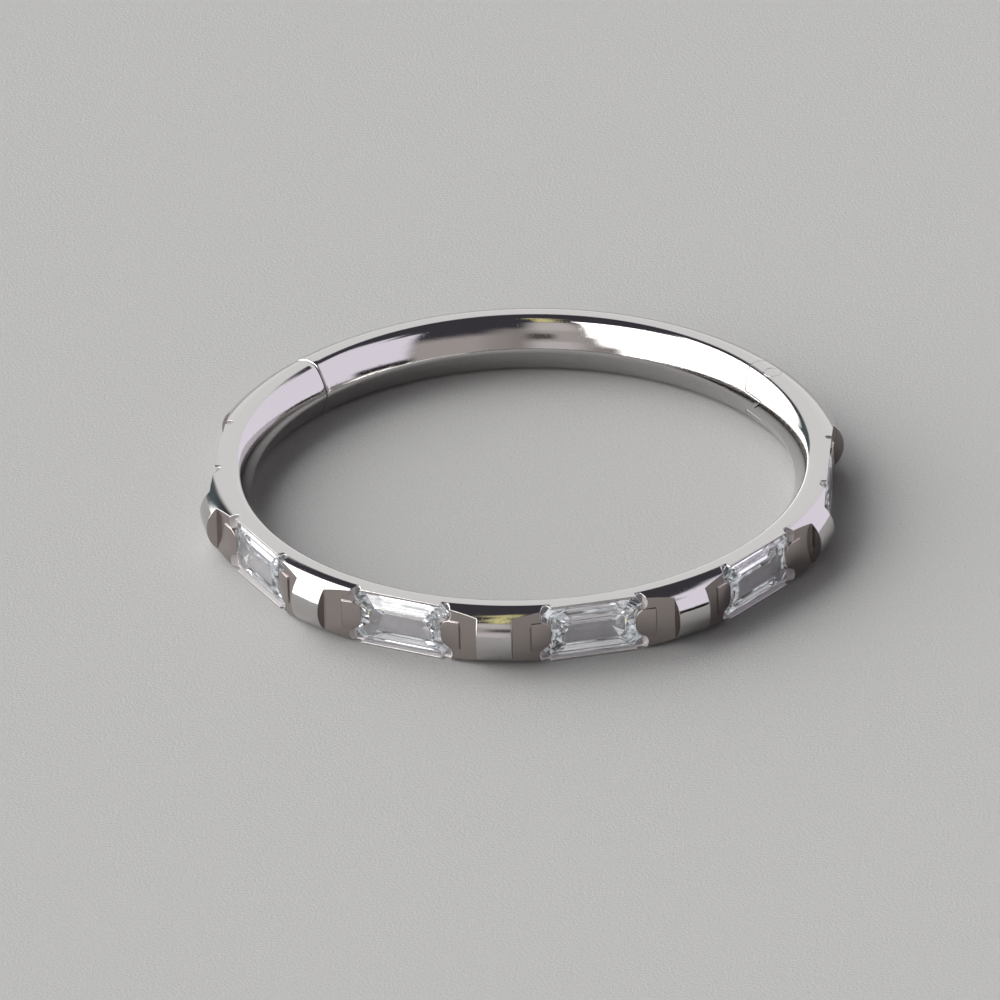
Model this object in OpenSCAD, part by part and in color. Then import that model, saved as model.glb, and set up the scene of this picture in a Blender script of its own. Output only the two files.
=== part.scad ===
// Hinged segment ring of nearly round wire, lying on its side.
// Six step-cut baguette stones sit in flat seats round the front.
// The plain back segment swings outward on a pin and clicks shut at its other end.
// Millimetres. The ring's axis is Z, its lower flat is at z = 0, and the middle of the stones faces -Y.
// Azimuths are degrees from the -Y side, and grow towards +X.

/* [Wire] */
// Width of the opening at mid height
hole_d = 12; // [11.5:0.1:12.5]
// Thickness of the wire, from the opening outward
wire_w = 1.25; // [1.2:0.01:1.3]
// Height of the wire
wire_h = 1.36; // [1.32:0.01:1.4]
// Width of the flats on top and below
flat_w = 0.30; // [0.26:0.01:0.34]
// Rise of the inner wall, from the opening to the flat
inner_rise = 0.38; // [0.36:0.01:0.4]
// Radius of the gentle curve from the inner ridge, at mid height, to the flat
flank_r = 1.55; // [1.4:0.05:1.8]

/* [Stones] */
// Number of stones
stone_count = 6; // [2:2:6]
// Angle from stone to stone, in degrees
stone_pitch = 36.6; // [36:0.1:37]
// Length of a stone, along the wire
stone_l = 2.26; // [2.16:0.02:2.3]
// Width of a stone, across the wire
stone_w = 1.18; // [1.1:0.01:1.18]
// Cut of a stone's corners
stone_clip = 0.20; // [0.14:0.02:0.24]
// Gap between a stone and its pocket
stone_gap = 0.015; // [0.01:0.005:0.02]

/* [Seats] */
// Depth of the flat seats, from the wire's outermost line
seat_depth = 0.47; // [0.42:0.01:0.5]
// Width of the full wire left standing between two seats
bar_w = 0.78; // [0.7:0.02:0.9]
// Radius of the relief holes at a stone's corners
relief_r = 0.17; // [0.14:0.01:0.17]
// Width of the tab that holds a stone's end
tab_w = 0.60; // [0.5:0.02:0.64]
// Length of a tab, from its graver cut to its tip
tab_l = 0.46; // [0.4:0.02:0.5]
// Distance from a stone's middle to the graver cut
tab_at = 1.41; // [1.38:0.01:1.44]
// Thickness of a tab over the seat
tab_rise = 0.04; // [0.03:0.01:0.06]

/* [Hinge] */
// Azimuth of the hinge and, mirrored, of the click joint
joint_az = 128; // [124:1:132]
// Radius of the hinge pin
pin_r = 0.19; // [0.17:0.01:0.2]
// Distance from the opening to the pin's axis
pin_at = 0.60; // [0.58:0.01:0.61]
// Radius of the hinge knuckle
knuckle_r = 0.58; // [0.56:0.01:0.58]
// Thickness of the tongue between the fork's leaves
tongue_h = 0.44; // [0.4:0.02:0.48]
// Running gap of the hinge
hinge_gap = 0.05; // [0.04:0.01:0.06]
// How far the segment opens, in degrees
open_angle = 60; // [40:5:60]
// Gap of the click joint
click_gap = 0.10; // [0.08:0.01:0.12]
// Radius of the click bump
bump_r = 0.30; // [0.28:0.01:0.32]

/* [Hidden] */
$fn = 96;
hole_r = hole_d / 2;
half_h = wire_h / 2;
wire_r = hole_r + wire_w;
flat_in = hole_r + inner_rise;
flat_out = flat_in + flat_w;
flat_mid = (flat_in + flat_out) / 2;
// The outer side is one arc, through both flats and the outermost line
outer_rise = wire_r - flat_out;
outer_arc = (half_h * half_h + outer_rise * outer_rise) / (2 * outer_rise);
// Each inner flank is an arc from the ridge round the opening to the flat's edge
flank_chord = sqrt(inner_rise * inner_rise + half_h * half_h);
flank_off = sqrt(flank_r * flank_r - flank_chord * flank_chord / 4) / flank_chord;
flank_x = hole_r + inner_rise / 2 + flank_off * half_h;
flank_z = half_h / 2 - flank_off * inner_rise;
lap = 0.02;
seat_p = wire_r - seat_depth;
half_pitch = stone_pitch / 2;
reach = 2;
// Half width of a seat, at distance p from the axis
function seat_half(p) = (p * sin(half_pitch) - bar_w / 2) / cos(half_pitch);

// Levels of a stone: height over the seat's face, then half length and half width
table_level = [0.03, 0.72, 0.30];
crown_level = [-0.03, 0.90, 0.46];
girdle_top = [-0.13, stone_l / 2, stone_w / 2];
girdle_low = [-0.17, stone_l / 2, stone_w / 2];
pavilion_level = [-0.32, 0.98, 0.41];
lower_level = [-0.47, 0.80, 0.21];
keel_level = [-0.54, 0.66, 0.05];
stone_levels = [table_level, crown_level, girdle_top, girdle_low, pavilion_level, lower_level, keel_level];
// Steps of a pocket: depth under the seat's face, then half length and half width
pocket_steps = [
    [0.29, stone_l / 2 + stone_gap, stone_w / 2 + stone_gap],
    [0.45, 1.03, 0.47],
    [0.57, 0.87, 0.28]
];
relief_x = stone_l / 2 - 0.08;
relief_z = stone_w / 2 - 0.13;
tab_floor = -0.02;
tab_tip_r = 0.45;

pin_dist = hole_r + pin_at;
shoulder_r = knuckle_r + hinge_gap;
pin_bore_gap = 0.02;
tongue_bore_gap = 0.04;
slot_h = tongue_h + 2 * 0.03;
click_turn = click_gap / pin_dist * 180 / PI / 2;
bump_sink = 0.08;
bump_gap = 0.04;

// Turns what is drawn at the -Y side to an azimuth
module at_azimuth(az) {
    rotate([0, 0, az]) children();
}

// A band of the wire's section, between two radii
module band(low_x, high_x) {
    translate([low_x, 0]) square([high_x - low_x, wire_h]);
}

// The wire's section: half round outside, two gentle flanks and a blunt ridge inside
module wire_section() {
    intersection() {
        translate([wire_r - outer_arc, half_h]) circle(r = outer_arc);
        band(flat_mid - lap, wire_r + 1);
    }
    intersection() {
        translate([flank_x, half_h + flank_z]) circle(r = flank_r);
        translate([flank_x, half_h - flank_z]) circle(r = flank_r);
        band(hole_r - 1, flat_mid + lap);
    }
}

// The wire as a whole closed ring
module whole_wire() {
    rotate_extrude() wire_section();
}

// Upright wedge between two azimuths
module sector(from_az, to_az) {
    steps = 12;
    turn = (to_az - from_az) / steps;
    outer = wire_r + reach;
    translate([0, 0, -1])
        linear_extrude(wire_h + 2)
            polygon(concat([[0, 0]],
                [for (i = [0:steps]) outer * [sin(from_az + i * turn), -cos(from_az + i * turn)]]));
}

// A stretch of the wire between two azimuths
module wire_stretch(from_az, to_az) {
    intersection() {
        whole_wire();
        sector(from_az, to_az);
    }
}

// Round upright cutter or knuckle about the hinge pin
module at_pin(radius, low, height) {
    at_azimuth(joint_az) translate([0, -pin_dist, low]) cylinder(r = radius, h = height);
}

// The whole height of the knuckle, shaped by the wire
module knuckle() {
    intersection() {
        whole_wire();
        at_pin(knuckle_r, -1, wire_h + 2);
    }
}

// Space that the turning segment needs outside the knuckle
module swing_notch() {
    spread = reach * tan(open_angle / 2);
    difference() {
        at_azimuth(joint_az)
            translate([0, -pin_dist, -1])
                linear_extrude(wire_h + 2) polygon([[0, 0], [spread, -reach], [-spread, -reach]]);
        at_pin(knuckle_r, -1, wire_h + 2);
    }
}

// Everything outside one flat seat, between its two bars
module seat_cut() {
    far_p = seat_p + reach;
    near_x = seat_half(seat_p);
    far_x = seat_half(far_p);
    translate([0, 0, -1])
        linear_extrude(wire_h + 2)
            polygon([[-near_x, -seat_p], [near_x, -seat_p], [far_x, -far_p], [-far_x, -far_p]]);
}

// Stepped pocket for a stone, with round reliefs at its corners
module pocket_cut() {
    for (s = pocket_steps)
        translate([-s[1], -seat_p - reach, half_h - s[2]]) cube([2 * s[1], reach + s[0], 2 * s[2]]);
    for (sx = [-1, 1])
        for (sz = [-1, 1])
            translate([sx * relief_x, -seat_p + pocket_steps[0][0], half_h + sz * relief_z])
                rotate([90, 0, 0]) cylinder(r = relief_r, h = reach);
}

// Tab pushed over one end of a stone, with a rounded tip
module tab(side) {
    translate([side * (tab_at - tab_l / 2), -seat_p - tab_floor, half_h])
        rotate([90, 0, 0])
            linear_extrude(tab_rise - tab_floor)
                intersection() {
                    square([tab_l, tab_w], center = true);
                    translate([side * (tab_tip_r - tab_l / 2), 0]) circle(r = tab_tip_r);
                }
}

// Azimuth of a stone, counted from 1
function stone_az(i) = (i - (stone_count + 1) / 2) * stone_pitch;

// Points of one level of a stone: an oblong with clipped corners
function level_points(l) =
    let (c = stone_clip * l[2] * 2 / stone_w, x = l[1], z = l[2], y = -seat_p - l[0])
    [for (q = [[x, z - c], [x - c, z], [c - x, z], [-x, z - c], [-x, c - z], [c - x, -z], [x - c, -z], [x, c - z]])
        [q[0], y, half_h + q[1]]];

module stone(i) {
    corners = 8;
    rings = len(stone_levels);
    points = [for (l = stone_levels) each level_points(l)];
    sides = [for (k = [0:rings - 2]) for (j = [0:corners - 1])
        let (n = (j + 1) % corners)
        [k * corners + j, k * corners + n, (k + 1) * corners + n, (k + 1) * corners + j]];
    table_face = [for (j = [corners - 1:-1:0]) j];
    keel_face = [for (j = [0:corners - 1]) (rings - 1) * corners + j];
    color([0.93, 0.95, 0.98, 0.6])
        at_azimuth(stone_az(i))
            polyhedron(points = points, faces = concat([table_face, keel_face], sides));
}

module ring_body() {
    color([0.80, 0.80, 0.81]) {
        difference() {
            union() {
                wire_stretch(click_turn - joint_az, joint_az);
                knuckle();
            }
            at_pin(shoulder_r, half_h - slot_h / 2, slot_h);
            at_pin(pin_r + pin_bore_gap, -1, wire_h + 2);
            swing_notch();
            for (i = [1:stone_count])
                at_azimuth(stone_az(i)) {
                    seat_cut();
                    pocket_cut();
                }
            at_azimuth(-joint_az - click_turn)
                translate([-bump_sink, -pin_dist, half_h]) sphere(r = bump_r + bump_gap);
        }
        for (i = [1:stone_count])
            at_azimuth(stone_az(i))
                for (side = [-1, 1])
                    tab(side);
    }
}

module hinged_segment() {
    end_az = 360 - joint_az - click_turn;
    color([0.78, 0.78, 0.79])
        difference() {
            union() {
                difference() {
                    wire_stretch(joint_az, end_az);
                    at_pin(shoulder_r, -1, half_h - tongue_h / 2 + 1);
                    at_pin(shoulder_r, half_h + tongue_h / 2, half_h + 1);
                }
                intersection() {
                    knuckle();
                    at_pin(knuckle_r, half_h - tongue_h / 2, tongue_h);
                }
                at_azimuth(end_az)
                    translate([-bump_sink, -pin_dist, half_h]) sphere(r = bump_r);
            }
            at_pin(pin_r + tongue_bore_gap, -1, wire_h + 2);
            swing_notch();
        }
}

module hinge_pin() {
    color([0.72, 0.72, 0.73])
        intersection() {
            whole_wire();
            at_pin(pin_r, 0.01, wire_h - 0.02);
        }
}

ring_body();
hinged_segment();
hinge_pin();
for (i = [1:stone_count])
    stone(i);
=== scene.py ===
"""Hinged segment ring with baguette stones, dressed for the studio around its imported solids.

Pieces are drawn in millimetres, with the ring's axis on Z and its lower flat at Z = 0, and brought to metres
at the end. Azimuths are degrees from the -Y side, and grow towards +X.
"""

import math

import bmesh
import bpy
from bpy.props import FloatProperty, FloatVectorProperty, IntProperty, PointerProperty
from mathutils import Matrix, Vector


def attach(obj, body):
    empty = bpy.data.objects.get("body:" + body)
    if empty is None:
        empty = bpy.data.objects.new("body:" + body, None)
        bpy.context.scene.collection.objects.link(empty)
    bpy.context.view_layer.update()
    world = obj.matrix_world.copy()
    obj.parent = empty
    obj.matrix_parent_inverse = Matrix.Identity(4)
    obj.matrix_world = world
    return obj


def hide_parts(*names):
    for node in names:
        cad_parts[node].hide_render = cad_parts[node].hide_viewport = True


bl_info = {
    "name": "Segment Ring",
    "version": (1, 0, 0),
    "blender": (4, 5, 0),
    "location": "3D View > Sidebar > Segment Ring",
    "description": "Builds a hinged segment ring with step-cut stones and its studio",
    "category": "Add Mesh",
}

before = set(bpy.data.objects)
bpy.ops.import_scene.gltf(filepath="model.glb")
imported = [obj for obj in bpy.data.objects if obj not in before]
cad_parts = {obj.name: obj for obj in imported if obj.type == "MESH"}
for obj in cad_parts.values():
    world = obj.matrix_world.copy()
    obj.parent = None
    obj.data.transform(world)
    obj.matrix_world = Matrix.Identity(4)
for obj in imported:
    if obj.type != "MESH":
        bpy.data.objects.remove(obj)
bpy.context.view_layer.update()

MM = 0.001
RING_BODY = "ring"
SEGMENT_BODY = "segment"

# The wire's edges, mm
INNER_ROUND = 0.28
FLAT_EDGE = 0.04
FLAT_BEVEL = 0.012
RIDGE_BEVEL = 0.04
END_ROUND = 0.045

# The hinge, mm and degrees. JOINT_OUT is the way from the opening to the pin, and to the click ball.
JOINT_OUT = 0.60
KNUCKLE_R = 0.60
HINGE_GAP = 0.010
TONGUE_H = 0.44
TONGUE_BORE_R = 0.23
PIN_R = 0.19
PIN_GAP = 0.004
PIN_SUNK = 0.002
NOTCH_TURN = 30
OVERLAP_TURN = 7

# The click joint, mm. BALL_SUNK is how far the ball's centre lies inside its end of the wire.
CLICK_GAP = 0.03
BUMP_R = 0.30
DIMPLE_R = 0.34
BALL_SUNK = 0.13

# The seats, mm and degrees. Sizes run along the wire, outwards and upwards.
LIP_SIZE = (1.96, 0.19, 0.13)
LIP_IN = 0.0945
LIP_BELOW_FLAT = 0.066
LIP_TOP_BELOW_FLAT = 0.001
LIP_CORNER = 0.055
POCKET_DEPTH = 0.29
POCKET_GAP = 0.012
RELIEF_R = 0.18
RELIEF_DEPTH = 0.16
RELIEF_IN = (0.08, 0.13)
TAB_SIZE = (0.46, 0.10, 0.68)
TAB_ROOT = 1.41
TAB_TIP_ROUND = 0.24
TAB_EDGE = 0.022
TAB_TILT = 4.5
CUT_SIZE = (0.034, 0.034, 0.58)
CUT_LOW = 0.035

# Steps of the pockets and stones: depth below the seat, half length and half width at that depth, mm
POCKET_STEPS = ((0.45, 1.03, 0.49), (0.58, 0.87, 0.30))
GIRDLE_TOP = 0.13
GIRDLE_LOW = 0.17
CROWN_STEPS = ((0.032, 0.92, 0.49), (-0.03, 0.73, 0.29))
PAVILION_STEPS = ((0.285, 0.95, 0.47), (0.42, 0.74, 0.33), (0.53, 0.54, 0.07))

# The photo's camera: how far it turns from the middle of the stones, how high it stands and how it tips
VIEW_TURN = 6.1
VIEW_ELEVATION = 29.46
VIEW_ROLL = -1.59
VIEW_DISTANCE = 527.3
PIXELS_PER_MM = 45.15
FRAME_PIXELS = 1000
AXIS_PIXEL = (523.3, 455.9)

# What stands round the ring, as its polished metal shows it. Azimuths start at the camera's side and grow to
# the right, elevations start at the horizon. A later row covers an earlier one.
CEILING = (0.062, 0.058, 0.072)
STUDIO_PATCHES = (
    # colour, from azimuth, to azimuth, lowest, highest, softness in azimuth, softness in elevation
    ((0.34, 0.31, 0.30), -62, 12, -95, 38, 8, 4),
    ((0.52, 0.48, 0.47), 8, 52, -95, 31, 12, 5),
    ((0.54, 0.50, 0.49), -28, -6, -2, 45, 8, 4),
    ((0.72, 0.68, 0.67), -24, -5, 34, 50, 6, 3),
    ((0.74, 0.70, 0.71), -24, -5, -2, 16, 6, 2),
    ((0.12, 0.105, 0.11), -14, -3, 20, 29, 3, 2),
    ((1.00, 1.00, 1.00), 148, 200, -95, 43, 5, 3),
    ((1.00, 1.00, 1.00), -200, -150, -95, 43, 5, 3),
    ((0.10, 0.13, 0.14), -152, -133, -95, 22, 2, 5),
    ((1.12, 1.06, 1.20), 46, 150, -95, 46, 3, 3),
    ((1.12, 1.06, 1.20), 66, 122, 30, 59, 6, 3),
    ((0.02, 0.02, 0.02), 44, 70, -95, 9, 3, 2),
    ((4.0, 4.0, 4.0), -135, -29, 25, 60, 2, 1.5),
    ((4.0, 4.0, 4.0), -135, -33, 14, 30, 4, 5),
    ((4.0, 4.0, 4.0), -135, -42, -95, 18, 5, 5),
    ((0.92, 0.84, 0.40), -17, -8, 51, 66, 2.5, 3),
    ((0.88, 0.81, 0.40), -22, -12, 58, 78, 3, 4),
    ((0.78, 0.72, 0.38), -40, -8, 74, 86, 10, 4),
)

# The same studio as the matt table sees it: one broad window on the left and behind, and faint fill
AMBIENT = (0.08, 0.08, 0.08)
SOFTBOXES = (
    ((4.15, 4.15, 4.15), -182, -64, 2, 62, 8, 6),
    ((1.2, 1.2, 1.2), -60, 35, -5, 18, 15, 6),
)
BACKDROP = (0.50, 0.49, 0.485)

# Light paths with more reflections than this behind them are close to the renderer's limit, and get the
# painted glow
LATE_PATH = 3.5


# Sizes and colours that a user would change


class RingSizes(bpy.types.PropertyGroup):
    hole_d: FloatProperty(name="Opening", description="Width of the opening, mm", default=12.0)
    wire_w: FloatProperty(name="Wire width", description="Thickness of the wire, mm", default=1.25)
    wire_h: FloatProperty(name="Wire height", description="Height of the wire, mm", default=1.36)
    flat_w: FloatProperty(name="Flat", description="Width of the flats on top and below, mm", default=0.30)
    inner_rise: FloatProperty(name="Inner rise", description="From the opening to the flat, mm", default=0.38)
    flank_r: FloatProperty(name="Flank radius", description="Curve of the inner flanks, mm", default=1.55)
    seat_depth: FloatProperty(name="Seat depth", description="Depth of the stone seats, mm", default=0.47)
    bar_w: FloatProperty(name="Bar width", description="Full wire left between two seats, mm", default=0.78)
    joint_az: FloatProperty(name="Hinge place", description="Azimuth of the hinge, degrees", default=128.0)


class StoneSizes(bpy.types.PropertyGroup):
    count: IntProperty(name="Stones", description="Number of stones", default=6, min=2, max=6)
    pitch: FloatProperty(name="Pitch", description="Angle from stone to stone, degrees", default=36.6)
    length: FloatProperty(name="Length", description="Length along the wire, mm", default=2.26)
    width: FloatProperty(name="Width", description="Width across the wire, mm", default=1.24)
    clip: FloatProperty(name="Corner cut", description="Cut of the corners, mm", default=0.20)


class RingFinish(bpy.types.PropertyGroup):
    metal: FloatVectorProperty(
        name="Metal", description="Reflection colour of the polished metal", subtype="COLOR",
        default=(0.57, 0.555, 0.545))
    # The filed seats' colour: their brown filed finish, darkened further as painted shade for the shaded table
    # they reflect
    filed: FloatVectorProperty(
        name="Filed metal", description="Reflection colour of the filed seats", subtype="COLOR",
        default=(0.41, 0.365, 0.345))
    stone: FloatVectorProperty(
        name="Stone", description="Tint of the stones", subtype="COLOR", default=(0.98, 0.985, 1.0))
    floor: FloatVectorProperty(
        name="Floor", description="Colour of the pale table", subtype="COLOR", default=(0.395, 0.391, 0.388))


def sizes():
    return bpy.context.scene.ring_sizes


def stone_sizes():
    return bpy.context.scene.stone_sizes


def finish_colours():
    return bpy.context.scene.ring_finish


# Small helpers for working with Blender's own tools


def deselect():
    if bpy.context.mode != "OBJECT":
        bpy.ops.object.mode_set(mode="OBJECT")
    bpy.ops.object.select_all(action="DESELECT")


def open_piece(piece, kind="VERT"):
    """Opens one piece for editing, with nothing else selected."""
    deselect()
    piece.select_set(True)
    bpy.context.view_layer.objects.active = piece
    bpy.ops.object.mode_set(mode="EDIT")
    bpy.ops.mesh.select_mode(type=kind)


def close_piece():
    bpy.ops.object.mode_set(mode="OBJECT")


def pick_verts(piece, test):
    bpy.ops.mesh.select_mode(type="VERT")
    bpy.ops.mesh.select_all(action="DESELECT")
    mesh = bmesh.from_edit_mesh(piece.data)
    for vert in mesh.verts:
        vert.select = bool(test(vert.co))
    mesh.select_flush_mode()
    bmesh.update_edit_mesh(piece.data)


def pick_edges(piece, test):
    bpy.ops.mesh.select_mode(type="EDGE")
    bpy.ops.mesh.select_all(action="DESELECT")
    mesh = bmesh.from_edit_mesh(piece.data)
    for edge in mesh.edges:
        edge.select = bool(test(edge.verts[0].co, edge.verts[1].co))
    bmesh.update_edit_mesh(piece.data)


def pick_faces(piece, test):
    bpy.ops.mesh.select_mode(type="FACE")
    bpy.ops.mesh.select_all(action="DESELECT")
    mesh = bmesh.from_edit_mesh(piece.data)
    for face in mesh.faces:
        face.select = bool(test(face.calc_center_median(), face.normal))
    bmesh.update_edit_mesh(piece.data)


def resize(value, centre):
    bpy.ops.transform.resize(value=value, center_override=centre)


def move(value):
    bpy.ops.transform.translate(value=value)


def turn_selected(degrees):
    """Turns the selection about the ring's axis, towards growing azimuth."""
    bpy.ops.transform.rotate(value=-math.radians(degrees), orient_axis="Z", center_override=(0, 0, 0))


def turn_piece(piece, azimuth):
    open_piece(piece)
    bpy.ops.mesh.select_all(action="SELECT")
    turn_selected(azimuth)
    close_piece()


def block(name, size, centre):
    """A cube of a given size, placed in its mesh."""
    deselect()
    bpy.ops.mesh.primitive_cube_add(size=1)
    piece = bpy.context.object
    piece.name = name
    open_piece(piece)
    bpy.ops.mesh.select_all(action="SELECT")
    resize(size, (0, 0, 0))
    move(centre)
    close_piece()
    return piece


def post(name, radius, low, height, x, y, sides=96):
    """An upright cylinder, placed in its mesh."""
    deselect()
    bpy.ops.mesh.primitive_cylinder_add(vertices=sides, radius=radius, depth=height)
    piece = bpy.context.object
    piece.name = name
    open_piece(piece)
    bpy.ops.mesh.select_all(action="SELECT")
    move((x, y, low + height / 2))
    close_piece()
    return piece


def twin(piece, name):
    """A copy of a piece with its own mesh."""
    deselect()
    piece.select_set(True)
    bpy.context.view_layer.objects.active = piece
    bpy.ops.object.duplicate(linked=False)
    copy = bpy.context.object
    copy.name = name
    return copy


def join(pieces, name):
    deselect()
    for piece in pieces:
        piece.select_set(True)
    bpy.context.view_layer.objects.active = pieces[0]
    if len(pieces) > 1:
        bpy.ops.object.join()
    pieces[0].name = name
    return pieces[0]


def remove(piece):
    deselect()
    piece.select_set(True)
    bpy.ops.object.delete()


def round_the_ring(piece, azimuths, name):
    """Copies of a piece, one at each azimuth, joined into one."""
    copies = []
    for azimuth in azimuths:
        copy = twin(piece, name)
        turn_piece(copy, azimuth)
        copies.append(copy)
    remove(piece)
    return join(copies, name)


def clean(piece):
    """Merges doubles and leaves flat triangles only, which the next cut needs."""
    open_piece(piece)
    bpy.ops.mesh.select_all(action="SELECT")
    bpy.ops.mesh.remove_doubles(threshold=0.00004)
    bpy.ops.mesh.dissolve_degenerate(threshold=0.00002)
    bpy.ops.mesh.quads_convert_to_tris(quad_method="BEAUTY", ngon_method="BEAUTY")
    close_piece()


def combine(piece, tool, how="DIFFERENCE", keep_tool=False):
    """Cuts a tool out of a piece, adds it or keeps what they share."""
    deselect()
    piece.select_set(True)
    bpy.context.view_layer.objects.active = piece
    bpy.ops.object.modifier_add(type="BOOLEAN")
    step = piece.modifiers[-1]
    step.operation = how
    step.object = tool
    step.solver = "EXACT"
    step.material_mode = "TRANSFER"
    bpy.ops.object.modifier_apply(modifier=step.name)
    if not len(piece.data.polygons):
        raise RuntimeError(f"{piece.name} is empty after {how} with {tool.name}")
    if not keep_tool:
        remove(tool)
    clean(piece)


def at_azimuth(azimuth, distance):
    a = math.radians(azimuth)
    return distance * math.sin(a), -distance * math.cos(a)


def stone_azimuths():
    s = stone_sizes()
    return [(i - (s.count - 1) / 2) * s.pitch for i in range(s.count)]


def seat_plane():
    s = sizes()
    return s.hole_d / 2 + s.wire_w - s.seat_depth


def into_place(piece, material, body, node, smooth_angle=30.0):
    """Brings a finished piece to metres and hands it to the frame."""
    if not piece.data.materials:
        piece.data.materials.append(material)
    open_piece(piece)
    bpy.ops.mesh.select_all(action="SELECT")
    resize((MM, MM, MM), (0, 0, 0))
    close_piece()
    if smooth_angle:
        bpy.ops.object.shade_smooth_by_angle(angle=math.radians(smooth_angle))
    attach(piece, body)
    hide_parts(node)


# Materials


def new_material(name):
    material = bpy.data.materials.get(name) or bpy.data.materials.new(name)
    material.use_nodes = True
    nodes = material.node_tree.nodes
    nodes.clear()
    output = nodes.new("ShaderNodeOutputMaterial")
    shader = nodes.new("ShaderNodeBsdfPrincipled")
    material.node_tree.links.new(shader.outputs["BSDF"], output.inputs["Surface"])
    return material, nodes, material.node_tree.links, shader


def stretched_noise(nodes, links, stretch, scale, detail=4.0):
    """Noise on the object's own coordinates, stretched along the given directions."""
    place = nodes.new("ShaderNodeTexCoord")
    mapping = nodes.new("ShaderNodeMapping")
    mapping.inputs["Scale"].default_value = stretch
    noise = nodes.new("ShaderNodeTexNoise")
    noise.inputs["Scale"].default_value = scale
    noise.inputs["Detail"].default_value = detail
    links.new(place.outputs["Object"], mapping.inputs["Vector"])
    links.new(mapping.outputs["Vector"], noise.inputs["Vector"])
    return noise.outputs["Fac"]


def ramp(nodes, links, source, low, high, from_low=0.3, from_high=0.7):
    spread = nodes.new("ShaderNodeMapRange")
    spread.inputs["From Min"].default_value = from_low
    spread.inputs["From Max"].default_value = from_high
    spread.inputs["To Min"].default_value = low
    spread.inputs["To Max"].default_value = high
    links.new(source, spread.inputs["Value"])
    return spread.outputs["Result"]


def bump(nodes, links, height, distance, strength, normal=None):
    node = nodes.new("ShaderNodeBump")
    node.inputs["Distance"].default_value = distance
    node.inputs["Strength"].default_value = strength
    links.new(height, node.inputs["Height"])
    if normal:
        links.new(normal, node.inputs["Normal"])
    return node.outputs["Normal"]


def polished_metal():
    material, nodes, links, shader = new_material("polished metal")
    shader.inputs["Metallic"].default_value = 1.0
    shader.inputs["Base Color"].default_value = (*finish_colours().metal, 1)
    haze = stretched_noise(nodes, links, (1, 1, 1), 900.0)
    links.new(ramp(nodes, links, haze, 0.03, 0.10), shader.inputs["Roughness"])
    edge = nodes.new("ShaderNodeBevel")
    edge.samples = 6
    edge.inputs["Radius"].default_value = 0.028 * MM
    noise = stretched_noise(nodes, links, (1, 1, 1), 21000.0, 3.0)
    pits = ramp(nodes, links, noise, 0.0, 1.0, 0.60, 0.74)
    links.new(bump(nodes, links, pits, 0.0012 * MM, 0.35, edge.outputs["Normal"]), shader.inputs["Normal"])
    return material


def filed_metal_with_shade():
    material, nodes, links, shader = new_material("filed metal with painted shade")
    shader.inputs["Metallic"].default_value = 1.0
    # Darker base colour: partly the filed finish, partly painted shade for the shaded table near the ring
    shader.inputs["Base Color"].default_value = (*finish_colours().filed, 1)
    haze = stretched_noise(nodes, links, (1, 1, 0.08), 14000.0)
    links.new(ramp(nodes, links, haze, 0.10, 0.24), shader.inputs["Roughness"])
    edge = nodes.new("ShaderNodeBevel")
    edge.samples = 6
    edge.inputs["Radius"].default_value = 0.020 * MM
    lines = stretched_noise(nodes, links, (1, 1, 0.05), 16000.0, 3.0)
    links.new(bump(nodes, links, lines, 0.0014 * MM, 0.5, edge.outputs["Normal"]), shader.inputs["Normal"])
    return material


def painted_late_glow(nodes, links, shader, low, high):
    """Paints a glow into the emission, in noisy painted glints, on paths that the limit on reflections would
    end in black; none on what is seen directly.
    """
    # Painted glow: emission standing in for light, not a lamp
    noise = stretched_noise(nodes, links, (1, 1, 1), 2600.0, 1.0)
    painted_glints = ramp(nodes, links, noise, low, high, 0.44, 0.60)
    path = nodes.new("ShaderNodeLightPath")
    late = nodes.new("ShaderNodeMath")
    late.operation = "GREATER_THAN"
    late.inputs[1].default_value = LATE_PATH
    links.new(path.outputs["Glossy Depth"], late.inputs[0])
    glow = nodes.new("ShaderNodeMath")
    glow.operation = "MULTIPLY"
    links.new(late.outputs["Value"], glow.inputs[0])
    links.new(painted_glints, glow.inputs[1])
    links.new(glow.outputs["Value"], shader.inputs["Emission Strength"])


def pocket_metal():
    """Bright-cut floor and walls of the pockets, with a painted glow on late light paths."""
    material, nodes, links, shader = new_material("bright-cut metal")
    shader.inputs["Metallic"].default_value = 1.0
    shader.inputs["Base Color"].default_value = (0.76, 0.735, 0.74, 1)
    # Colour of the pockets' painted glow
    shader.inputs["Emission Color"].default_value = (0.88, 0.94, 1.0, 1)
    painted_late_glow(nodes, links, shader, 0.0, 0.16)
    haze = stretched_noise(nodes, links, (1, 1, 1), 9000.0)
    links.new(ramp(nodes, links, haze, 0.60, 0.78), shader.inputs["Roughness"])
    links.new(bump(nodes, links, haze, 0.002 * MM, 0.4), shader.inputs["Normal"])
    return material


def clear_stone():
    material, nodes, links, shader = new_material("clear stone")
    shader.inputs["Base Color"].default_value = (*finish_colours().stone, 1)
    shader.inputs["Roughness"].default_value = 0.0
    shader.inputs["IOR"].default_value = 2.15
    shader.inputs["Transmission Weight"].default_value = 1.0
    # Colour of the stones' painted glow, given on late light paths only
    shader.inputs["Emission Color"].default_value = (0.90, 0.95, 1.0, 1)
    painted_late_glow(nodes, links, shader, 0.03, 0.40)
    return material


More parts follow.
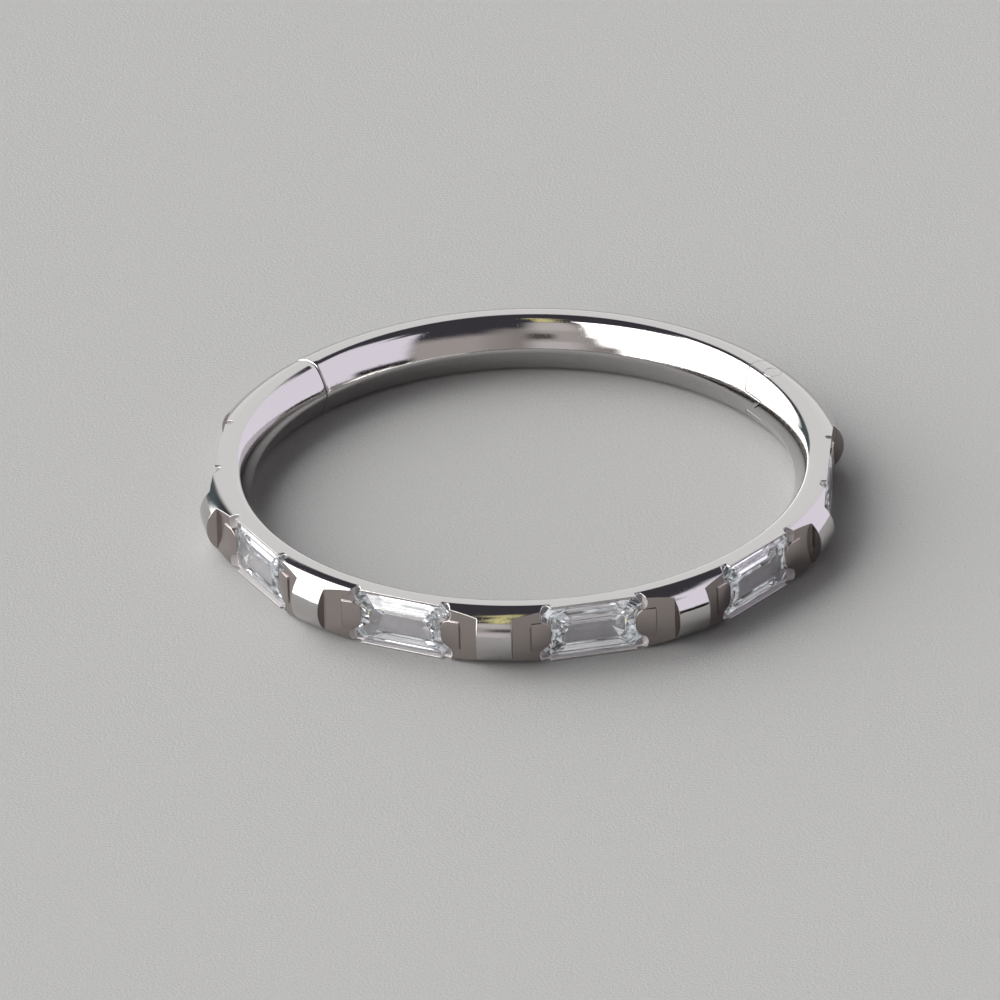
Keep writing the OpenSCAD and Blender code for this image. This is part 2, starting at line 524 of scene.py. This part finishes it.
def table_top():
    material, nodes, links, shader = new_material("pale table")
    grain = stretched_noise(nodes, links, (1, 1, 1), 17000.0, 4.0)
    mix = nodes.new("ShaderNodeMix")
    mix.data_type = "RGBA"
    colour = finish_colours().floor
    mix.inputs["A"].default_value = (*[c * 0.84 for c in colour], 1)
    mix.inputs["B"].default_value = (*[c * 1.20 for c in colour], 1)
    links.new(grain, mix.inputs["Factor"])
    links.new(mix.outputs["Result"], shader.inputs["Base Color"])
    shader.inputs["Roughness"].default_value = 0.9
    shader.inputs["Specular IOR Level"].default_value = 0.15
    links.new(bump(nodes, links, grain, 0.02 * MM, 0.5), shader.inputs["Normal"])
    return material


# The wire


def wire_outline(name):
    """Closed outline of the wire's section, drawn on the +X side."""
    s = sizes()
    half = s.wire_h / 2
    hole_r = s.hole_d / 2
    flat_in = hole_r + s.inner_rise
    flat_out = flat_in + s.flat_w
    chord = math.hypot(s.inner_rise, half)
    off = math.sqrt(s.flank_r ** 2 - chord ** 2 / 4) / chord
    flank_x = hole_r + s.inner_rise / 2 + off * half
    flank_z = half / 2 - off * s.inner_rise
    shoulder = math.asin((half - INNER_ROUND - flank_z) / (s.flank_r - INNER_ROUND))
    flank_turn = shoulder - math.asin(-flank_z / s.flank_r)
    round_x = flank_x - (s.flank_r - INNER_ROUND) * math.cos(shoulder)
    round_turn = math.pi / 2 - shoulder
    rise = hole_r + s.wire_w - flat_out
    arc_r = (half ** 2 + rise ** 2) / (2 * rise)
    arc_x = hole_r + s.wire_w - arc_r
    arc_turn = 2 * math.acos((flat_out - arc_x) / arc_r)
    deselect()
    bpy.ops.mesh.primitive_plane_add(size=0.1)
    piece = bpy.context.object
    piece.name = name
    open_piece(piece)
    bpy.ops.mesh.select_all(action="SELECT")
    bpy.ops.mesh.merge(type="CENTER")
    move((hole_r, 0, half))

    def arc(centre_x, centre_z, turn, steps):
        bpy.ops.mesh.spin(steps=steps, angle=-turn, center=(centre_x, 0, centre_z), axis=(0, 1, 0))

    def flat(*parts):
        for part in parts:
            bpy.ops.mesh.extrude_region_move(TRANSFORM_OT_translate={"value": (part, 0, 0)})

    arc(flank_x, half + flank_z, flank_turn, 12)
    arc(round_x, s.wire_h - INNER_ROUND, round_turn, 8)
    flat(flat_out - FLAT_EDGE - round_x, FLAT_EDGE)
    arc(arc_x, half, arc_turn, 66)
    flat(-FLAT_EDGE, round_x - flat_out + FLAT_EDGE)
    arc(round_x, INNER_ROUND, round_turn, 8)
    arc(flank_x, half - flank_z, flank_turn, 12)
    bpy.ops.mesh.select_all(action="SELECT")
    bpy.ops.mesh.remove_doubles(threshold=0.0005)
    pick_verts(piece, lambda c: any(math.hypot(c.x - flat_out, c.z - z) < 0.001 for z in (0, s.wire_h)))
    bpy.ops.mesh.bevel(offset=FLAT_BEVEL, segments=4, affect="VERTICES")
    pick_verts(piece, lambda c: math.hypot(c.x - hole_r, c.z - half) < 0.001)
    bpy.ops.mesh.bevel(offset=RIDGE_BEVEL, segments=4, affect="VERTICES")
    close_piece()
    return piece


def wire_stretch(name, from_az, to_az, round_start=0.0, round_end=0.0):
    """A solid stretch of the wire between two azimuths, with the rims of its ends softened if asked."""
    s = sizes()
    middle = s.hole_d / 2 + s.wire_w / 2
    per_mm = math.degrees(1 / middle)
    first, last = from_az + round_start * per_mm, to_az - round_end * per_mm
    piece = wire_outline(name)
    open_piece(piece)
    bpy.ops.mesh.select_all(action="SELECT")
    turn_selected(first - 90)
    steps = max(8, round(last - first))
    bpy.ops.mesh.spin(steps=steps, angle=-math.radians(last - first), center=(0, 0, 0), axis=(0, 0, 1))
    bpy.ops.mesh.select_all(action="SELECT")
    bpy.ops.mesh.fill_holes(sides=0)
    bpy.ops.mesh.select_all(action="SELECT")
    bpy.ops.mesh.normals_make_consistent(inside=False)
    for azimuth, radius, ahead in ((first, round_start, -1), (last, round_end, 1)):
        if not radius:
            continue
        along = Vector((*at_azimuth(azimuth + 90, ahead), 0))
        centre = Vector((*at_azimuth(azimuth, middle), s.wire_h / 2))
        pick_faces(piece, lambda c, n: n.dot(along) > 0.99 and (c - centre).length < 0.3)
        done, size = 0.0, 1.0
        for step in (22.5, 45.0, 67.5, 90.0):
            reach = radius * math.sin(math.radians(step))
            shrunk = 1 - radius * (1 - math.cos(math.radians(step))) / middle_radius()
            bpy.ops.mesh.extrude_region_move(TRANSFORM_OT_translate={"value": along * (reach - done)})
            resize((shrunk / size,) * 3, centre + along * reach)
            done, size = reach, shrunk
    clean(piece)
    return piece


def middle_radius():
    """Half the wire's thickness, as a round section would have it."""
    s = sizes()
    return (s.wire_w + s.wire_h) / 4


# Cutters and small additions, drawn at the -Y side


def seat_tool():
    """Everything outside one flat seat, between its two bars."""
    s, p, reach = sizes(), seat_plane(), 2.0
    half_pitch = math.radians(stone_sizes().pitch / 2)

    def half_width(distance):
        return (distance * math.sin(half_pitch) - s.bar_w / 2) / math.cos(half_pitch)

    near, far = half_width(p), half_width(p + reach)
    tool = block("seat tool", (2 * near, reach, s.wire_h + 2), (0, -p - reach / 2, s.wire_h / 2))
    open_piece(tool)
    pick_verts(tool, lambda c: c.y < -p - reach / 2)
    resize((far / near, 1, 1), (0, 0, 0))
    close_piece()
    return tool


def lips():
    """Metal pushed level with the flats, above and below one stone."""
    half, p = sizes().wire_h / 2, seat_plane()
    pieces = []
    for side in (-1, 1):
        lip = block("lip", LIP_SIZE, (0, -p + LIP_IN, half + side * (half - LIP_BELOW_FLAT)))
        rim = half + side * (half - LIP_TOP_BELOW_FLAT)

        def at_rim(c):
            return abs(c.x) > 0.9 and abs(c.z - rim) < 0.002

        open_piece(lip)
        pick_edges(lip, lambda a, b: abs(a.x - b.x) < 0.001 and at_rim(a) and at_rim(b))
        bpy.ops.mesh.bevel(offset=LIP_CORNER, segments=4, affect="EDGES")
        close_piece()
        pieces.append(lip)
    return join(pieces, "lips")


def pocket_tool():
    """Stepped pocket for one stone."""
    p, g, reach = seat_plane(), stone_sizes(), 1.0
    middle = sizes().wire_h / 2
    depth, half_l, half_w = POCKET_DEPTH, g.length / 2 + POCKET_GAP, g.width / 2 + POCKET_GAP
    size = (2 * half_l, reach + depth, 2 * half_w)
    tool = block("pocket tool", size, (0, -p - (reach - depth) / 2, middle))
    for deeper, next_l, next_w in POCKET_STEPS:
        open_piece(tool)
        pick_faces(tool, lambda c, n, y=depth - p: n.y > 0.9 and abs(c.y - y) < 0.001)
        bpy.ops.mesh.extrude_region_move(TRANSFORM_OT_translate={"value": (0, 0, 0)})
        resize((next_l / half_l, 1, next_w / half_w), (0, depth - p, middle))
        bpy.ops.mesh.extrude_region_move(TRANSFORM_OT_translate={"value": (0, deeper - depth, 0)})
        close_piece()
        depth, half_l, half_w = deeper, next_l, next_w
    return tool


def relief_tool():
    """Four round reliefs at the corners of one pocket."""
    s, p, g = sizes(), seat_plane(), stone_sizes()
    x, z, reach = g.length / 2 - RELIEF_IN[0], g.width / 2 - RELIEF_IN[1], 1.0
    holes = []
    for side_x in (-1, 1):
        for side_z in (-1, 1):
            deselect()
            bpy.ops.mesh.primitive_cylinder_add(
                vertices=40, radius=RELIEF_R, depth=reach + RELIEF_DEPTH, rotation=(math.pi / 2, 0, 0))
            hole = bpy.context.object
            bpy.ops.object.transform_apply(location=False, rotation=True, scale=False)
            open_piece(hole)
            bpy.ops.mesh.select_all(action="SELECT")
            move((side_x * x, -p - (reach - RELIEF_DEPTH) / 2, s.wire_h / 2 + side_z * z))
            close_piece()
            holes.append(hole)
    return join(holes, "relief tool")


def graver_tool():
    """Two fine V cuts, one behind each tab."""
    s, p = sizes(), seat_plane()
    cuts = []
    for side in (-1, 1):
        cut = block("graver tool", CUT_SIZE, (0, 0, 0))
        open_piece(cut)
        bpy.ops.mesh.select_all(action="SELECT")
        turn_selected(45)
        resize((0.8, 1.6, 1), (0, 0, 0))
        move((side * TAB_ROOT, -p, s.wire_h / 2 - CUT_LOW))
        close_piece()
        cuts.append(cut)
    return join(cuts, "graver tool")


def tab(side):
    """One tab pushed over a stone's end: a thin slab with a rounded tip and soft edges."""
    p, length = seat_plane(), TAB_SIZE[0]
    piece = block("tab", TAB_SIZE, (side * (TAB_ROOT - length / 2), -p + 0.01, sizes().wire_h / 2))
    tip = side * (TAB_ROOT - length)

    def at_tip(c):
        return abs(c.x - tip) < 0.001

    open_piece(piece)
    pick_edges(piece, lambda a, b: at_tip(a) and at_tip(b) and abs(a.y - b.y) > 0.05)
    bpy.ops.mesh.bevel(offset=TAB_TIP_ROUND, segments=8, affect="EDGES")
    pick_edges(piece, lambda a, b: a.y < -p - 0.03 and b.y < -p - 0.03)
    bpy.ops.mesh.bevel(offset=TAB_EDGE, segments=3, affect="EDGES")
    bpy.ops.mesh.select_all(action="SELECT")
    bpy.ops.transform.rotate(
        value=side * math.radians(TAB_TILT), orient_axis="Z", center_override=(side * TAB_ROOT, -p - 0.04, 0))
    close_piece()
    return piece


# The hinge and the click joint


def joint_radius():
    """From the ring's axis to the hinge pin and to the click ball."""
    return sizes().hole_d / 2 + JOINT_OUT


def hinge_post(name, radius, low, height, sides=96):
    x, y = at_azimuth(sizes().joint_az, joint_radius())
    return post(name, radius, low, height, x, y, sides)


def beyond_hinge(name, side):
    """All that lies past the hinge's plane, apart from the knuckle. side 1 is towards growing azimuth."""
    s = sizes()
    piece = block(name, (5, 3, s.wire_h + 2), (side * 2.5, -joint_radius(), s.wire_h / 2))
    turn_piece(piece, s.joint_az)
    combine(piece, hinge_post("knuckle", KNUCKLE_R, -2, s.wire_h + 4))
    return piece


def swing_notch():
    """Room for the turning segment, outside the knuckle."""
    s, distance = sizes(), joint_radius()
    reach, spread = 2.0, 2.0 * math.tan(math.radians(NOTCH_TURN))
    piece = block("notch", (2 * spread, reach, s.wire_h + 2), (0, -distance - reach / 2, s.wire_h / 2))
    open_piece(piece)
    pick_verts(piece, lambda c: c.y > -distance - 0.01)
    resize((0.002, 1, 1), (0, 0, 0))
    close_piece()
    turn_piece(piece, s.joint_az)
    combine(piece, hinge_post("knuckle", KNUCKLE_R, -2, s.wire_h + 4))
    return piece


def click_ball(name, radius, azimuth):
    """The ball of the bump and of its dimple, set into the wire towards smaller azimuth."""
    x, y = at_azimuth(azimuth, joint_radius())
    back_x, back_y = at_azimuth(azimuth + 90, -BALL_SUNK)
    deselect()
    bpy.ops.mesh.primitive_uv_sphere_add(segments=48, ring_count=24, radius=radius)
    piece = bpy.context.object
    piece.name = name
    open_piece(piece)
    bpy.ops.mesh.select_all(action="SELECT")
    move((x + back_x, y + back_y, sizes().wire_h / 2))
    close_piece()
    return piece


def click_turn():
    """Half the click joint's gap, in degrees."""
    return math.degrees(CLICK_GAP / 2 / joint_radius())


class RING_OT_body(bpy.types.Operator):
    """Build the ring body with its seats, pockets, tabs, fork and click socket"""

    bl_idname = "segment_ring.body"
    bl_label = "Ring body"

    def execute(self, context):
        s = sizes()
        polish, filed = polished_metal(), filed_metal_with_shade()
        start, end = click_turn() - s.joint_az, s.joint_az + OVERLAP_TURN
        body = wire_stretch("ring_body_fine", start, end, round_start=END_ROUND)
        body.data.materials.append(polish)
        combine(body, beyond_hinge("past the fork", 1))
        slot_low, slot_h = s.wire_h / 2 - TONGUE_H / 2 - HINGE_GAP, TONGUE_H + 2 * HINGE_GAP
        combine(body, hinge_post("slot", KNUCKLE_R + HINGE_GAP, slot_low, slot_h))
        combine(body, swing_notch())
        combine(body, hinge_post("bore", PIN_R + PIN_GAP, -1, s.wire_h + 2, sides=90))
        combine(body, click_ball("dimple", DIMPLE_R, -s.joint_az - click_turn()))
        seats = round_the_ring(seat_tool(), stone_azimuths(), "seats")
        seats.data.materials.append(filed)
        combine(body, seats)
        edges = round_the_ring(lips(), stone_azimuths(), "lips")
        edges.data.materials.append(polish)
        combine(body, edges, "UNION")
        pockets = round_the_ring(pocket_tool(), stone_azimuths(), "pockets")
        pockets.data.materials.append(pocket_metal())
        combine(body, pockets)
        reliefs = round_the_ring(relief_tool(), stone_azimuths(), "reliefs")
        reliefs.data.materials.append(pocket_metal())
        combine(body, reliefs)
        cuts = round_the_ring(graver_tool(), stone_azimuths(), "graver cuts")
        cuts.data.materials.append(polish)
        combine(body, cuts)
        tabs = round_the_ring(join([tab(-1), tab(1)], "tabs"), stone_azimuths(), "tabs")
        tabs.data.materials.append(filed)
        combine(body, tabs, "UNION")
        into_place(body, polish, RING_BODY, "ring_body")
        return {"FINISHED"}


class RING_OT_segment(bpy.types.Operator):
    """Build the plain hinged segment with its tongue and click bump"""

    bl_idname = "segment_ring.segment"
    bl_label = "Hinged segment"

    def execute(self, context):
        s = sizes()
        polish = polished_metal()
        end = 360 - s.joint_az - click_turn()
        segment = wire_stretch("hinged_segment_fine", s.joint_az - OVERLAP_TURN, end, round_end=END_ROUND)
        segment.data.materials.append(polish)
        combine(segment, beyond_hinge("before the tongue", -1))
        half, tongue = s.wire_h / 2, TONGUE_H
        combine(segment, hinge_post("lower shoulder", KNUCKLE_R + HINGE_GAP, -1, half - tongue / 2 + 1))
        combine(segment, hinge_post("upper shoulder", KNUCKLE_R + HINGE_GAP, half + tongue / 2, half + 1))
        combine(segment, swing_notch())
        combine(segment, hinge_post("bore", TONGUE_BORE_R, -1, s.wire_h + 2))
        combine(segment, click_ball("bump", BUMP_R, end), "UNION")
        into_place(segment, polish, SEGMENT_BODY, "hinged_segment")
        return {"FINISHED"}


class RING_OT_pin(bpy.types.Operator):
    """Build the hinge pin, filed flush with the wire"""

    bl_idname = "segment_ring.pin"
    bl_label = "Hinge pin"

    def execute(self, context):
        s = sizes()
        pin = hinge_post("hinge_pin_fine", PIN_R, PIN_SUNK, s.wire_h - 2 * PIN_SUNK)
        combine(pin, wire_stretch("wire", s.joint_az - 4, s.joint_az + 4), "INTERSECT")
        pin.data.materials.clear()
        into_place(pin, polished_metal(), RING_BODY, "hinge_pin")
        return {"FINISHED"}


def cut_stone():
    """One step-cut baguette at the -Y side, its table outwards."""
    p, g, middle = seat_plane(), stone_sizes(), sizes().wire_h / 2
    half_l, half_w = g.length / 2, g.width / 2
    girdle = (2 * half_l, GIRDLE_LOW - GIRDLE_TOP, 2 * half_w)
    stone = block("stone", girdle, (0, (GIRDLE_TOP + GIRDLE_LOW) / 2 - p, middle))
    open_piece(stone)
    pick_edges(stone, lambda a, b: abs(a.y - b.y) > 0.01)
    bpy.ops.mesh.bevel(offset=g.clip, segments=1, affect="EDGES")
    for steps, facing, start in ((CROWN_STEPS, -1, GIRDLE_TOP), (PAVILION_STEPS, 1, GIRDLE_LOW)):
        depth, at_l, at_w = start, half_l, half_w
        for deeper, next_l, next_w in steps:
            pick_faces(stone, lambda c, n, y=depth - p: n.y * facing > 0.9 and abs(c.y - y) < 0.002)
            bpy.ops.mesh.extrude_region_move(TRANSFORM_OT_translate={"value": (0, deeper - depth, 0)})
            resize((next_l / at_l, 1, next_w / at_w), (0, deeper - p, middle))
            depth, at_l, at_w = deeper, next_l, next_w
    bpy.ops.mesh.select_all(action="SELECT")
    bpy.ops.mesh.normals_make_consistent(inside=False)
    close_piece()
    return stone


class RING_OT_stones(bpy.types.Operator):
    """Cut one stone and set a copy of it in each seat"""

    bl_idname = "segment_ring.stones"
    bl_label = "Stones"

    def execute(self, context):
        clear = clear_stone()
        first = cut_stone()
        for number, azimuth in enumerate(stone_azimuths(), start=1):
            stone = twin(first, f"stone_{number}_fine")
            turn_piece(stone, azimuth)
            into_place(stone, clear, RING_BODY, f"stone_{number}", smooth_angle=None)
        remove(first)
        return {"FINISHED"}


# The studio


def direction_nodes(nodes, links):
    """Azimuth from the camera's side and elevation of a world direction, in degrees, and a maker of sums."""
    place = nodes.new("ShaderNodeTexCoord")
    turn = nodes.new("ShaderNodeMapping")
    turn.vector_type = "VECTOR"
    turn.inputs["Rotation"].default_value = (0, 0, -math.radians(VIEW_TURN))
    parts = nodes.new("ShaderNodeSeparateXYZ")
    links.new(place.outputs["Generated"], turn.inputs["Vector"])
    links.new(turn.outputs["Vector"], parts.inputs["Vector"])

    def maths(operation, first, second=None):
        node = nodes.new("ShaderNodeMath")
        node.operation = operation
        for socket, value in zip(node.inputs, (first, second)):
            if value is None:
                continue
            if isinstance(value, (int, float)):
                socket.default_value = value
            else:
                links.new(value, socket)
        return node.outputs["Value"]

    ahead = maths("MULTIPLY", parts.outputs["Y"], -1.0)
    azimuth = maths("DEGREES", maths("ARCTAN2", parts.outputs["X"], ahead))
    elevation = maths("DEGREES", maths("ARCSINE", parts.outputs["Z"]))
    return azimuth, elevation, maths


def studio_light():
    """Soft boxes round a dark ceiling, their broad light on the table, and a pale backdrop."""
    world = bpy.data.worlds.new("studio")
    bpy.context.scene.world = world
    world.use_nodes = True
    nodes, links = world.node_tree.nodes, world.node_tree.links
    nodes.clear()
    azimuth, elevation, maths = direction_nodes(nodes, links)

    def rise(value, start, soft):
        node = nodes.new("ShaderNodeMapRange")
        node.interpolation_type = "SMOOTHSTEP"
        node.inputs["From Min"].default_value = start - soft
        node.inputs["From Max"].default_value = start + soft
        links.new(value, node.inputs["Value"])
        return node.outputs["Result"]

    def between(value, start, end, soft):
        return maths("MULTIPLY", rise(value, start, soft), maths("SUBTRACT", 1.0, rise(value, end, soft)))

    def over(below, colour, from_az, to_az, low, high, soft_az, soft_el):
        width = between(azimuth, from_az, to_az, soft_az)
        height = between(elevation, low, high, soft_el)
        mix = nodes.new("ShaderNodeMix")
        mix.data_type = "RGBA"
        links.new(maths("MULTIPLY", width, height), mix.inputs["Factor"])
        if isinstance(below, tuple):
            mix.inputs["A"].default_value = (*below, 1)
        else:
            links.new(below, mix.inputs["A"])
        mix.inputs["B"].default_value = (*colour, 1)
        return mix.outputs["Result"]

    def sky(base, patches):
        light = base
        for patch in patches:
            light = over(light, *patch)
        background = nodes.new("ShaderNodeBackground")
        links.new(light, background.inputs["Color"])
        return background.outputs["Background"]

    pale = nodes.new("ShaderNodeBackground")
    pale.inputs["Color"].default_value = (*BACKDROP, 1)
    path = nodes.new("ShaderNodeLightPath")
    output = nodes.new("ShaderNodeOutputWorld")
    shine = sky(CEILING, STUDIO_PATCHES)
    broad = sky(AMBIENT, SOFTBOXES)
    for ray, other in (("Is Diffuse Ray", broad), ("Is Camera Ray", pale.outputs["Background"])):
        choice = nodes.new("ShaderNodeMixShader")
        links.new(path.outputs[ray], choice.inputs["Fac"])
        links.new(shine, choice.inputs[1])
        links.new(other, choice.inputs[2])
        shine = choice.outputs["Shader"]
    links.new(shine, output.inputs["Surface"])


def photo_camera():
    """The photo's long lens, a little tipped, looking down at the stones."""
    elevation, turn, roll = (math.radians(v) for v in (VIEW_ELEVATION, VIEW_TURN, VIEW_ROLL))
    flat, height = math.cos(elevation), math.sin(elevation)
    towards = Vector((math.sin(turn) * flat, -math.cos(turn) * flat, height))
    level = Vector((math.cos(turn), math.sin(turn), 0))
    upright = towards.cross(level)
    right = math.cos(roll) * level + math.sin(roll) * upright
    up = math.cos(roll) * upright - math.sin(roll) * level
    across = (FRAME_PIXELS / 2 - AXIS_PIXEL[0]) / PIXELS_PER_MM
    down = (FRAME_PIXELS / 2 - AXIS_PIXEL[1]) / PIXELS_PER_MM
    place = Vector((0, 0, sizes().wire_h)) + VIEW_DISTANCE * towards + across * right - down * up
    deselect()
    bpy.ops.object.camera_add(location=place * MM)
    camera = bpy.context.object
    camera.name = "photo camera"
    camera.matrix_world = Matrix.Translation(place * MM) @ Matrix((right, up, towards)).transposed().to_4x4()
    camera.data.sensor_width = 36
    camera.data.lens = PIXELS_PER_MM * VIEW_DISTANCE * camera.data.sensor_width / FRAME_PIXELS
    camera.data.clip_start = 0.05
    camera.data.clip_end = 20
    bpy.context.scene.camera = camera


class RING_OT_stage(bpy.types.Operator):
    """Set up the pale table, the soft studio light and the photo's camera"""

    bl_idname = "segment_ring.stage"
    bl_label = "Studio"

    def execute(self, context):
        deselect()
        bpy.ops.mesh.primitive_plane_add(size=6, location=(0, 0, 0))
        floor = bpy.context.object
        floor.name = "table_top"
        floor.data.materials.append(table_top())
        studio_light()
        photo_camera()
        context.scene.view_settings.view_transform = "Standard"
        return {"FINISHED"}


class RING_PT_panel(bpy.types.Panel):
    """Steps that build the ring and its studio"""

    bl_label = "Segment Ring"
    bl_idname = "RING_PT_panel"
    bl_space_type = "VIEW_3D"
    bl_region_type = "UI"
    bl_category = "Segment Ring"

    def draw(self, context):
        for group in (context.scene.ring_sizes, context.scene.stone_sizes, context.scene.ring_finish):
            for name in group.__annotations__:
                self.layout.prop(group, name)
        for operator in OPERATORS:
            self.layout.operator(operator.bl_idname)


OPERATORS = (RING_OT_stage, RING_OT_body, RING_OT_segment, RING_OT_pin, RING_OT_stones)
CLASSES = (RingSizes, StoneSizes, RingFinish, *OPERATORS, RING_PT_panel)


def register():
    for item in CLASSES:
        bpy.utils.register_class(item)
    bpy.types.Scene.ring_sizes = PointerProperty(type=RingSizes)
    bpy.types.Scene.stone_sizes = PointerProperty(type=StoneSizes)
    bpy.types.Scene.ring_finish = PointerProperty(type=RingFinish)


def unregister():
    for name in ("ring_sizes", "stone_sizes", "ring_finish"):
        delattr(bpy.types.Scene, name)
    for item in reversed(CLASSES):
        bpy.utils.unregister_class(item)


def main():
    register()
    bpy.ops.segment_ring.stage()
    bpy.ops.segment_ring.body()
    bpy.ops.segment_ring.segment()
    bpy.ops.segment_ring.pin()
    bpy.ops.segment_ring.stones()


if __name__ == "__main__":
    main()
